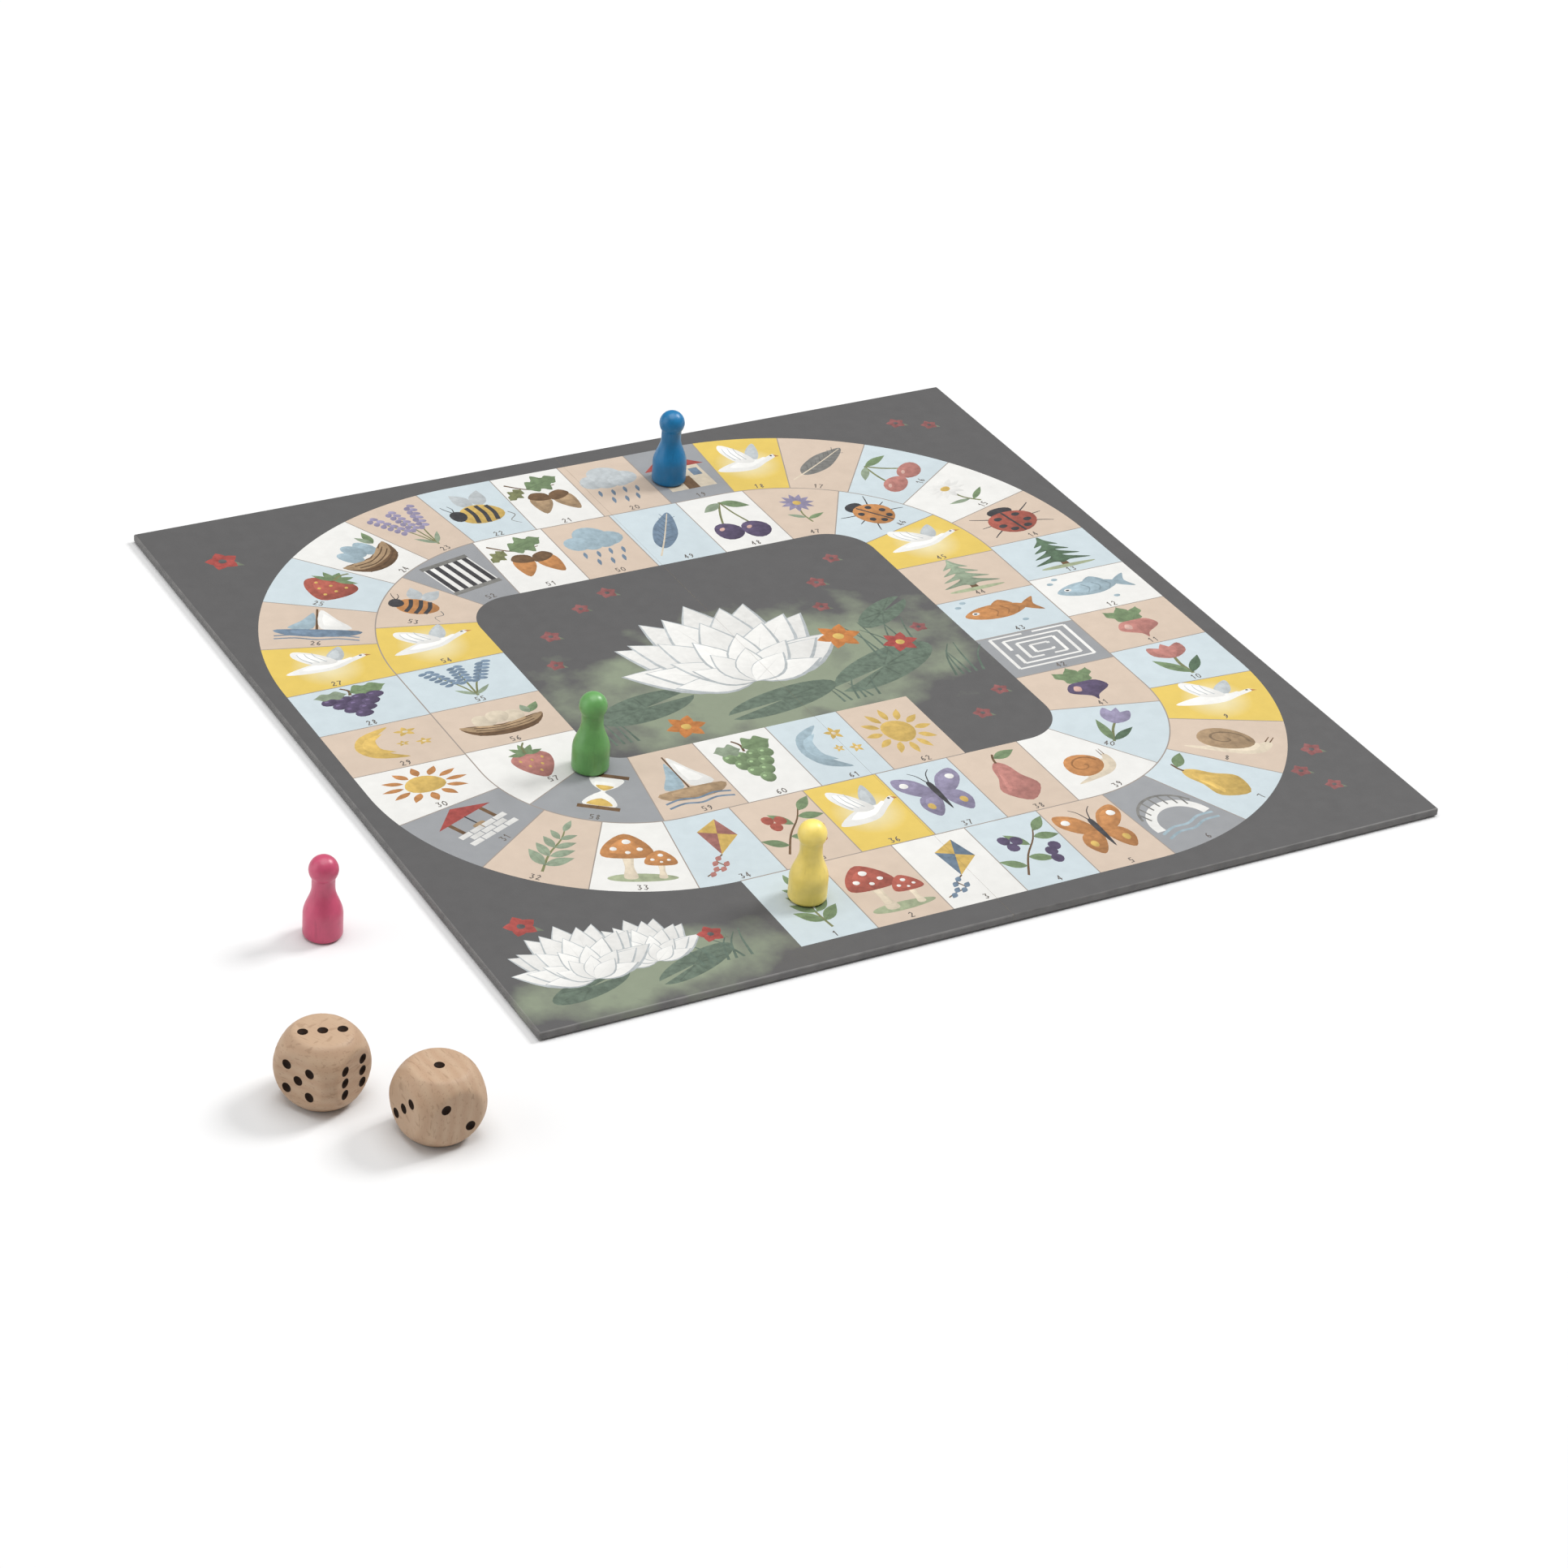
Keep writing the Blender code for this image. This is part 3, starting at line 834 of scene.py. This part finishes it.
def wrapped_edges(shell, side):
    """Rounded arrises and upright edges on three sides of a half; gives its profiles."""
    profile = []
    for middle, first in ((TOP - ARRIS, 90), (UNDER + ARRIS, 0)):
        for share in shares(ARRIS_STEPS):
            profile.append(Vector((0, middle)) + spoke(first - 90 * share) * ARRIS)
    stations = [(SEAM_EDGE, -BASE, -90)]
    for y, first in ((-BASE, -90), (BASE, 0)):
        stations += [(BASE, y, first + 90 * share) for share in shares(ARRIS_STEPS)]
    stations.append((SEAM_EDGE, BASE, 90))
    rings = []
    for x, y, angle in stations:
        out = spoke(angle)
        rings.append([(side * (x + out.x * reach), y + out.y * reach, z) for reach, z in profile])
    for first, second in zip(rings, rings[1:]):
        for i in range(len(profile) - 1):
            # The upright walls carry a high wear value, partly real wear and partly painted light
            # brightening the edges
            finish = WORN if i < ARRIS_STEPS else WALL_WORN_AND_LIT
            corners = (first[i], second[i], second[i + 1], first[i + 1])
            shell.face(corners, SHEET_FRONT, finish, i != ARRIS_STEPS)
    return rings


def turned_in(shell, side):
    """The strips turned in under a half, with their mitred ends, and the back of the sheet."""
    def level(z, *spots):
        return [(side * x, y, z) for x, y in spots]

    def back(corners):
        shell.face(corners, SHEET_BACK, BACK)

    strips = [(((1, 1), (1, -1)), (INNER, -MITRE), (INNER, MITRE))]
    for way in (-1, 1):
        strips.append((((1, way), (0, way)), (SEAM_EDGE, way * INNER), (MITRE, way * INNER)))
        for end in ((MITRE, way * INNER), (INNER, way * MITRE)):
            back(level(UNDER, (BASE, way * BASE), end) + level(LOW, end, (DEEP, way * DEEP)))
    for rim, a, b in strips:
        front, rear = ([(x * reach or SEAM_EDGE, y * reach) for x, y in rim] for reach in (BASE, DEEP))
        shell.face(level(UNDER, *front, a, b), SHEET_FRONT, BARE)
        back(level(LOW, *rear, a, b))
        back(level(UNDER, a, b) + level(LOW, b, a))
    inside = ((SEAM_EDGE, -DEEP), (DEEP, -DEEP), (DEEP, DEEP), (SEAM_EDGE, DEEP))
    for a, b in zip(inside, inside[1:]):
        back(level(LOW, a, b) + level(HIGH, b, a))
    back(level(HIGH, *inside))


def printed_half(name, side, triangles):
    """One printed sheet, closed: playing face, wrapped edges and mitred turn-ins."""
    shell, near = Shell(), side * SEAM_EDGE
    for corners, owner in triangles:
        _, paint, brushed = PRINT[owner]
        finish = BARE if owner < len(SIDES) else (0, 0, brushed)
        shell.face([(spot.x, spot.y, TOP) for spot in corners], paint, finish)
    rings = wrapped_edges(shell, side)
    turned_in(shell, side)
    spots = [spot for corners, _ in triangles for spot in corners]
    seam = sorted({round(spot.y, 4) for spot in spots if abs(spot.x - near) < 1e-4})
    edge = [(near, -INNER, UNDER)] + rings[0][::-1] + [(near, y, TOP) for y in seam[1:-1]] + rings[-1]
    edge += [(near, INNER, UNDER), (near, INNER, LOW), (near, DEEP, LOW), (near, DEEP, HIGH)]
    edge += [(near, -DEEP, HIGH), (near, -DEEP, LOW), (near, -INNER, LOW)]
    shell.face(edge, SHEET_BACK, BACK)
    return shell.mesh(name)


# Where most noise lies; the water washes' middles and half sizes and the tape's threads, in metres
NOISE_RANGE = (0.3, 0.7)
WASHES = ((-0.002, -0.006, 0.074, 0.038), (-0.104, -0.131, 0.046, 0.015))
THREAD_PITCH = 0.0006


class Graph:
    """One material's nodes, with short calls for the ones used here."""

    def __init__(self, name, specular, **settings):
        self.material = bpy.data.materials.new(name)
        self.material.use_nodes = True
        self.tree = self.material.node_tree
        self.shader = self.tree.nodes["Principled BSDF"]
        self.shader.inputs["Specular IOR Level"].default_value = specular
        for socket, value in settings.items():
            self.shader.inputs[socket.replace("_", " ")].default_value = value
        self.place = self.node("TexCoord", "Object")

    def node(self, kind, output, inputs=None, **settings):
        """Adds a node and gives one of its outputs."""
        made = self.tree.nodes.new("ShaderNode" + kind)
        for key, value in settings.items():
            setattr(made, key, value)
        for key, value in (inputs or {}).items():
            if isinstance(value, bpy.types.NodeSocket):
                self.tree.links.new(value, made.inputs[key])
            else:
                made.inputs[key].default_value = value
        return made.outputs[output]

    def noise(self, size, detail, stretch=(1, 1, 1)):
        """Noise with blotches of about size metres, stretched along the axes."""
        scaled = self.node("Mapping", 0, {"Vector": self.place, "Scale": [1 / part for part in stretch]})
        return self.node("TexNoise", 0, {"Vector": scaled, "Scale": 1 / size, "Detail": detail})

    def spread(self, value, low, high, to_low=0, to_high=1):
        inputs = {"Value": value, "From Min": low, "From Max": high, "To Min": to_low, "To Max": to_high}
        return self.node("MapRange", 0, inputs)

    def mottle(self, size, detail, low=0, high=1):
        return self.spread(self.noise(size, detail), *NOISE_RANGE, low, high)

    def maths(self, operation, a, b):
        return self.node("Math", 0, {0: a, 1: b}, operation=operation)

    def times(self, a, b):
        return self.maths("MULTIPLY", a, b)

    def flat(self, place):
        """A place with its height left out."""
        return self.node("VectorMath", 0, {0: place, 1: (1, 1, 0)}, operation="MULTIPLY")

    def mix(self, share, a, b, blend="MIX"):
        a, b = ((*part, 1) if isinstance(part, Vector) else part for part in (a, b))
        return self.node("Mix", 2, {0: share, 6: a, 7: b}, data_type="RGBA", blend_type=blend)

    def done(self, colour, cloud, rough, height=None, depth=0):
        """The material, rough within a range by a cloud, with bumps of a depth."""
        finish = {"Base Color": colour, "Roughness": self.spread(cloud, 0, 1, *rough)}
        if height is not None:
            inputs = {"Height": height, "Distance": depth}
            finish["Normal"] = self.node("Bump", 0, inputs)
        for socket, value in finish.items():
            self.tree.links.new(value, self.shader.inputs[socket])
        return self.material


def printed_paper():
    """Mottled ink on coated paper, with a water wash on the ground, worn arrises, and upright edges paled
    partly by wear and partly as painted light.
    """
    g = Graph("printed_paper", 0.35)
    colour = g.node("Attribute", "Color", attribute_name="print")
    finish = g.node("Attribute", "Vector", attribute_name="finish")
    on_ground, wear_and_light, brushed = (g.node("SeparateXYZ", axis, {0: finish}) for axis in "XYZ")
    ragged = g.mottle(0.016, 5, -0.3, 0.3)
    for x, y, across, along in WASHES:
        inputs = {"Vector": g.place, "Location": (x, y, 0), "Scale": (across, along, 1)}
        own = g.node("Mapping", 0, inputs, vector_type="TEXTURE")
        far = g.node("VectorMath", "Value", {0: g.flat(own)}, operation="LENGTH")
        share = g.spread(g.maths("ADD", far, ragged), 0.55, 1.05, 1, 0)
        colour = g.mix(g.times(share, on_ground), colour, WASH)
    grain = g.spread(g.noise(0.0018, 5), 0.32, 0.68, -0.24, 0.24)
    tone = g.maths("ADD", g.mottle(0.0045, 4, 0.97, 1.03), g.times(grain, brushed))
    tone = g.node("CombineColor", 0, {0: tone, 1: tone, 2: tone})
    colour = g.mix(1, colour, tone, "MULTIPLY")
    # Paling towards the rubbed colour: wear on the arrises, wear and painted light on the upright walls
    colour = g.mix(g.times(g.mottle(0.004, 5, 0.1, 0.3), wear_and_light), colour, RUBBED_AND_LIT)
    return g.done(colour, g.mottle(0.004, 2), (0.46, 0.58), g.noise(0.0006, 2), 0.00002)


def fibre_board(name, base, fleck, size):
    """Pressed paper fibre: long flecks over a mottled ground."""
    g = Graph(name, 0.2)
    cloud = g.mottle(size * 8, 4)
    flecks = g.spread(g.noise(size, 2, (6, 1, 1)), 0.58, 0.68)
    cross = g.spread(g.noise(size, 2, (1, 5, 1)), 0.6, 0.7)
    ground = g.mix(cloud, base * 0.9, base * 1.08)
    colour = g.mix(g.maths("MAXIMUM", flecks, cross), ground, fleck)
    return g.done(colour, cloud, (0.82, 0.94), g.noise(size * 1.5, 3), 0.00006)


def book_cloth():
    """Plain-woven tape: warp and weft pass over and under each other in turn."""
    g = Graph("book_cloth", 0.2, Sheen_Weight=0.25)
    inputs = {"Vector": g.place, "Scale": pi / 10 / THREAD_PITCH}
    warp, weft = (g.node("TexWave", "Fac", inputs, bands_direction=way) for way in "XY")
    over = g.node("TexChecker", "Fac", {"Vector": g.flat(g.place), "Scale": 1 / THREAD_PITCH})
    weave = g.mix(over, warp, weft)
    # Thread crowns painted lighter and the gaps between threads darker: painted shade of the weave, over a
    # random mottle
    shade = g.times(g.spread(weave, 0, 1, 0.25, 1), g.mottle(0.004, 3, 0.4, 0.9))
    return g.done(g.mix(shade, *inks("242325 5a585a")), weave, (0.95, 0.8), weave, 0.00008)


def painted_wood(name, colour):
    """Satin paint over turned wood, its grain and lathe rings faint."""
    g = Graph(name, 0.45, Coat_Weight=0.25, Coat_Roughness=0.3)
    grain = g.noise(0.0009, 3, (1, 1, 9))
    rings = g.noise(0.0007, 2, (30, 30, 1))
    cloud = g.mottle(0.005, 3)
    coat = g.mix(cloud, colour * 0.9, colour * 1.1)
    coat = g.mix(g.spread(grain, 0.62, 0.74, 0, 0.35), coat, colour * 0.7)
    return g.done(coat, cloud, (0.34, 0.44), g.maths("ADD", grain, rings), 0.00003)


def beech():
    """Plain beech: faint annual rings, ray flecks and fine pores along the grain."""
    g = Graph("beech", 0.35)
    g.place = g.node("Attribute", "Vector", attribute_name="grain")
    wave = {"Vector": g.place, "Scale": 90, "Distortion": 2.5, "Detail": 2, "Detail Scale": 1.2}
    rings = g.node("TexWave", "Fac", wave, bands_direction="X")
    cloud = g.mottle(0.007, 4)
    pores = g.spread(g.noise(0.0004, 2, (1, 1, 8)), 0.6, 0.74)
    flecks = g.spread(g.noise(0.0007, 1, (1, 5, 2)), 0.62, 0.7)
    wood = g.mix(g.spread(rings, 0, 1, 0.1, 0.5), *inks("dfc0a1 c89f7f"))
    for layer, strength, code in ((cloud, 0.5, "ceab8d"), (pores, 0.45, "96765a"), (flecks, 0.4, "a98668")):
        wood = g.mix(g.times(layer, strength), wood, ink(code))
    return g.done(wood, cloud, (0.48, 0.6), g.times(pores, 0.5), 0.00003)


def burnt_pip():
    """The scorched, stained hollow of a pip."""
    g = Graph("burnt_pip", 0.12)
    cloud = g.mottle(0.0008, 4)
    return g.done(g.mix(cloud, *inks("1e130c 382416")), cloud, (0.5, 0.75), cloud, 0.00004)


def studio_floor():
    g = Graph("studio_floor", 0.1)
    cloud = g.mottle(0.5, 2)
    return g.done(g.mix(cloud, Vector((0.765,) * 3), Vector((0.775,) * 3)), cloud, (0.85, 0.95))


def shown(name, data):
    made = bpy.data.objects.new(name, data)
    scene.collection.objects.link(made)
    return made


def piece(mesh, slot, replaced, *materials):
    """A visible piece, named as its mesh, that stands for CAD nodes."""
    made = shown(mesh.name, mesh)
    for material in materials:
        mesh.materials.append(material)
    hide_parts(*replaced)
    return made


# Board, whose print begins with the ground of its two sheets
for side in SIDES.values():
    near, far = side * SEAM_EDGE, side * BASE
    sheet = ((near, -BASE), (far, -BASE), (far, BASE), (near, BASE))
    put([Vector(spot) for spot in sheet], plain(GROUND))
draw_track()
draw_pictures()
halves = print_triangles()
paper = printed_paper()
for word, side in SIDES.items():
    mesh = printed_half(f"printed_face_{word}", side, halves[word])
    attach(piece(mesh, "print_sheet", [f"print_sheet_{word}"], paper), f"{word}_half")

greyboard = fibre_board("greyboard", *inks("a89f92 7d756b"), 0.0006)
liner_paper = fibre_board("liner_paper", *inks("cfcac0 b5afa4"), 0.0004)
for word in SIDES:
    for node, material in (("greyboard", greyboard), ("liner", liner_paper)):
        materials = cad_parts[f"{node}_{word}"].data.materials
        materials.clear()
        materials.append(material)

# Cloth tape under the fold, one strip with close rows across its middle
TAPE_BEND, BEND_STEPS = 0.0012, 16
tape_low, tape_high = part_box("hinge_tape_west")


def tape_mesh():
    reach, leaf = tape_high.y, -tape_low.x
    section = ((-reach, tape_low.z), (reach, tape_low.z), (reach, tape_high.z), (-reach, tape_high.z))
    stops = [-leaf, *(TAPE_BEND * (2 * share - 1) for share in shares(BEND_STEPS)), leaf]
    bm = bmesh.new()
    rows = [[bm.verts.new((x, y, z)) for y, z in section] for x in stops]
    for first, second in zip(rows, rows[1:]):
        for i in range(len(section)):
            bm.faces.new((first[i - 1], first[i], second[i], second[i - 1]))
    for row in (rows[0], rows[-1]):
        bm.faces.new(row)
    return finished(bm, "fold_tape")


tape = piece(tape_mesh(), "hinge_tape", ["hinge_tape_west", "hinge_tape_east"], book_cloth())
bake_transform(tape)

# Pawns, in millimetres
PAWN_FOOT, PAWN_BARREL, PAWN_HEAD = 1.2, 6.8, 4.1
NECK_STEP, NECK_LONG = 0.9, 2.8
PAWN_STEPS, FOOT_STEPS, BARREL_STEPS, SHOULDER_STEPS, HEAD_STEPS = 96, 8, 6, 24, 24
PAWN_PAINT = {
    "blue": ink("0083c0"),
    "green": ink("77bb69"),
    "yellow": ink("ffe477") * 1.28,
    "pink": ink("e55a80"),
}


def pawn_profile(base, height):
    """Half outline: foot round, barrel, shoulder, neck and ball head."""
    neck, middle = PAWN_HEAD - NECK_STEP, height - PAWN_HEAD
    under = degrees(acos(neck / PAWN_HEAD))
    collar = middle - PAWN_HEAD * sin(radians(under)) - NECK_LONG
    foot = Vector((base - PAWN_FOOT, PAWN_FOOT))
    outline = [foot + spoke(90 * share - 90) * PAWN_FOOT for share in shares(FOOT_STEPS)]
    barrel = PAWN_BARREL - PAWN_FOOT
    outline += [(base, PAWN_FOOT + barrel * share) for share in shares(BARREL_STEPS)[1:-1]]
    for share in shares(SHOULDER_STEPS):
        swell = 0.5 + 0.5 * cos(pi * share)
        outline.append((neck + (base - neck) * swell, PAWN_BARREL + (collar - PAWN_BARREL) * share))
    turns = [(90 + under) * share - under for share in shares(HEAD_STEPS)[:-1]]
    return outline + [Vector((0, middle)) + spoke(angle) * PAWN_HEAD for angle in turns]


def pawn_mesh(name, low, high):
    middle = ((low + high) / 2).xy
    bm = bmesh.new()
    rings = []
    for radius, level in pawn_profile((high.x - low.x) / 2 / MM, (high.z - low.z) / MM):
        spots = [middle + spot * radius * MM for spot in circle(PAWN_STEPS)]
        rings.append([bm.verts.new((*spot, low.z + level * MM)) for spot in spots])
    crown = bm.verts.new((*middle, high.z))
    for i in range(PAWN_STEPS):
        for first, second in zip(rings, rings[1:]):
            bm.faces.new((first[i - 1], first[i], second[i], second[i - 1])).smooth = True
        bm.faces.new((rings[-1][i - 1], rings[-1][i], crown)).smooth = True
    bm.faces.new(rings[0])
    return finished(bm, name)


for word, colour in PAWN_PAINT.items():
    mesh = pawn_mesh(f"{word}_pawn", *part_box(f"pawn_{word}"))
    paint = painted_wood(f"{word}_paint", colour)
    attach(piece(mesh, f"pawn_{word}", [f"pawn_{word}"], paint), f"pawn_{word}")

# Dice, in millimetres, and each one's turn in degrees and which way its three leans
DIE_SIDE, DIE_BALL, DIE_SOFT, DIE_GRID = 20, 25, 0.45, 26
PIP_WIDE, PIP_DEEP, PIP_PITCH, PIP_CLEAR = 2.8, 0.6, 3.6, 1.624
PIP_STEPS, PIP_RINGS = 20, (1, 0.82, 0.6, 0.32)
PIP_PAIRS = path("1,1 -1,-1 1,-1 -1,1 0,1 0,-1")
DIE_TURNS = {"die_1": ((0, -90, -60.8), -1), "die_2": ((0, 0, -174.3), 1)}


def from_pip(spot, pips):
    """Distance from the nearest pip's middle."""
    return min((spot - pip).length for pip in pips)


def die_point(spot, axes, pips):
    """A point of a cube's face drawn in to the ball, and down into a pip."""
    normal, across, along = axes
    flat = normal * (DIE_SIDE / 2) + across * spot.x + along * spot.y
    far, ball = flat.length, DIE_BALL / 2
    soft = max(DIE_SOFT - abs(far - ball), 0) / DIE_SOFT
    place = flat.normalized() * (min(far, ball) - soft**2 * DIE_SOFT / 4)
    gap = from_pip(spot, pips) / (PIP_WIDE / 2)
    return place - normal * PIP_DEEP * max(0, 1 - gap**2)


def die_mesh(name, lean, place):
    """One die in its place, its own frame kept for the grain."""
    x, y, z = Matrix.Identity(3)
    sides = {1: (z, x, y), 2: (y, x, z), 3: (x, y, z * lean), 4: (-x, y, z), 5: (-y, x, z), 6: (-z, x, y)}
    grid = [DIE_SIDE / 2 * tan(pi / 4 * (2 * share - 1)) for share in shares(DIE_GRID)]
    bm = bmesh.new()
    for count, axes in sides.items():
        odd = count % 2
        pips = [Vector(mark) * PIP_PITCH for mark in [(0, 0)] * odd + PIP_PAIRS[:count - odd]]
        spots = [Vector((u, v)) for u in grid for v in grid]
        spots = [spot for spot in spots if from_pip(spot, pips) > PIP_CLEAR]
        for pip in pips:
            spots.append(pip)
            for share in PIP_RINGS:
                spots += [pip + spot * PIP_WIDE / 2 * share for spot in circle(PIP_STEPS)]
        flat, _, faces, _, _, _ = delaunay_2d_cdt(spots, [], [], 0, 1e-6)
        verts = [bm.verts.new(die_point(spot, axes, pips) * MM) for spot in flat]
        for face in faces:
            made = bm.faces.new([verts[i] for i in face])
            made.material_index = int(from_pip(centre([flat[i] for i in face]), pips) < PIP_WIDE / 2)
            made.smooth = True
    bmesh.ops.remove_doubles(bm, verts=bm.verts, dist=1e-7)
    for edge in bm.edges:
        edge.smooth = len({face.material_index for face in edge.link_faces}) == 1
    made = finished(bm, name)
    grain = made.attributes.new("grain", "FLOAT_VECTOR", "POINT").data
    for vertex in made.vertices:
        grain[vertex.index].vector = vertex.co
    made.transform(place)
    return made


wood, scorch = beech(), burnt_pip()
for node, (turn, lean) in DIE_TURNS.items():
    low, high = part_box(node)
    middle = Vector((*((low + high) / 2).xy, low.z + DIE_SIDE / 2 * MM))
    turned = Euler([radians(angle) for angle in turn]).to_matrix().to_4x4()
    mesh = die_mesh(f"wooden_{node}", lean, Matrix.Translation(middle) @ turned)
    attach(piece(mesh, "die", [node], wood, scorch), node)

# Floor
FLOOR_Z, FLOOR_REACH = -0.0001, 4
floor_mesh = bpy.data.meshes.new("floor")
corners = [(x * FLOOR_REACH, y * FLOOR_REACH, FLOOR_Z) for x, y in path("-1,-1 1,-1 1,1 -1,1")]
floor_mesh.from_pydata(corners, [], [(0, 1, 2, 3)])
floor_mesh.materials.append(studio_floor())
floor = shown("floor", floor_mesh)

# Soft boxes: place, aim and size in metres, power in watts; and the room's own light
LAMPS = {
    "key": ((2.48, 0.12, 2.5), (-0.05, -0.05, 0), 1, 74),
    "overhead": ((-0.1, 0.1, 2.9), (-0.1, 0.1, 0), 2.6, 62),
    "fill": ((-2.5, 0.7, 1.1), (-0.05, -0.05, 0), 2.4, 24),
}
ROOM_LIGHT = 0.28
for name, (place, aim, size, power) in LAMPS.items():
    lamp = bpy.data.lights.new(name, "AREA")
    lamp.shape, lamp.size, lamp.energy = "SQUARE", size, power
    box = shown(name, lamp)
    box.location = place
    box.rotation_euler = (Vector(aim) - Vector(place)).to_track_quat("-Z", "Y").to_euler()
world = bpy.data.worlds.new("studio")
world.use_nodes = True
background = world.node_tree.nodes["Background"].inputs
background["Color"].default_value = (1, 1, 1, 1)
background["Strength"].default_value = ROOM_LIGHT
scene.world = world
scene.view_settings.view_transform = "Standard"

# Camera, fitted to the board's corners and the pieces' feet in the photograph
CAMERA_TURN, CAMERA_RISE, CAMERA_ROLL = -31.08445, 31.74007, 4.7485
CAMERA_AWAY, CAMERA_AIM = 1.218638, Vector((-0.0243218, -0.057259, 0))
CAMERA_LENS, CAMERA_SENSOR = 96.948, 36
rise = radians(CAMERA_RISE)
back = Vector((*spoke(CAMERA_TURN - 90) * cos(rise), sin(rise)))
lens = bpy.data.cameras.new("camera")
lens.lens, lens.sensor_width = CAMERA_LENS, CAMERA_SENSOR
camera = shown("camera", lens)
rolled = back.to_track_quat("Z", "Y").to_matrix().to_4x4() @ Matrix.Rotation(radians(CAMERA_ROLL), 4, "Z")
camera.matrix_world = Matrix.Translation(CAMERA_AIM + back * CAMERA_AWAY) @ rolled
scene.camera = camera
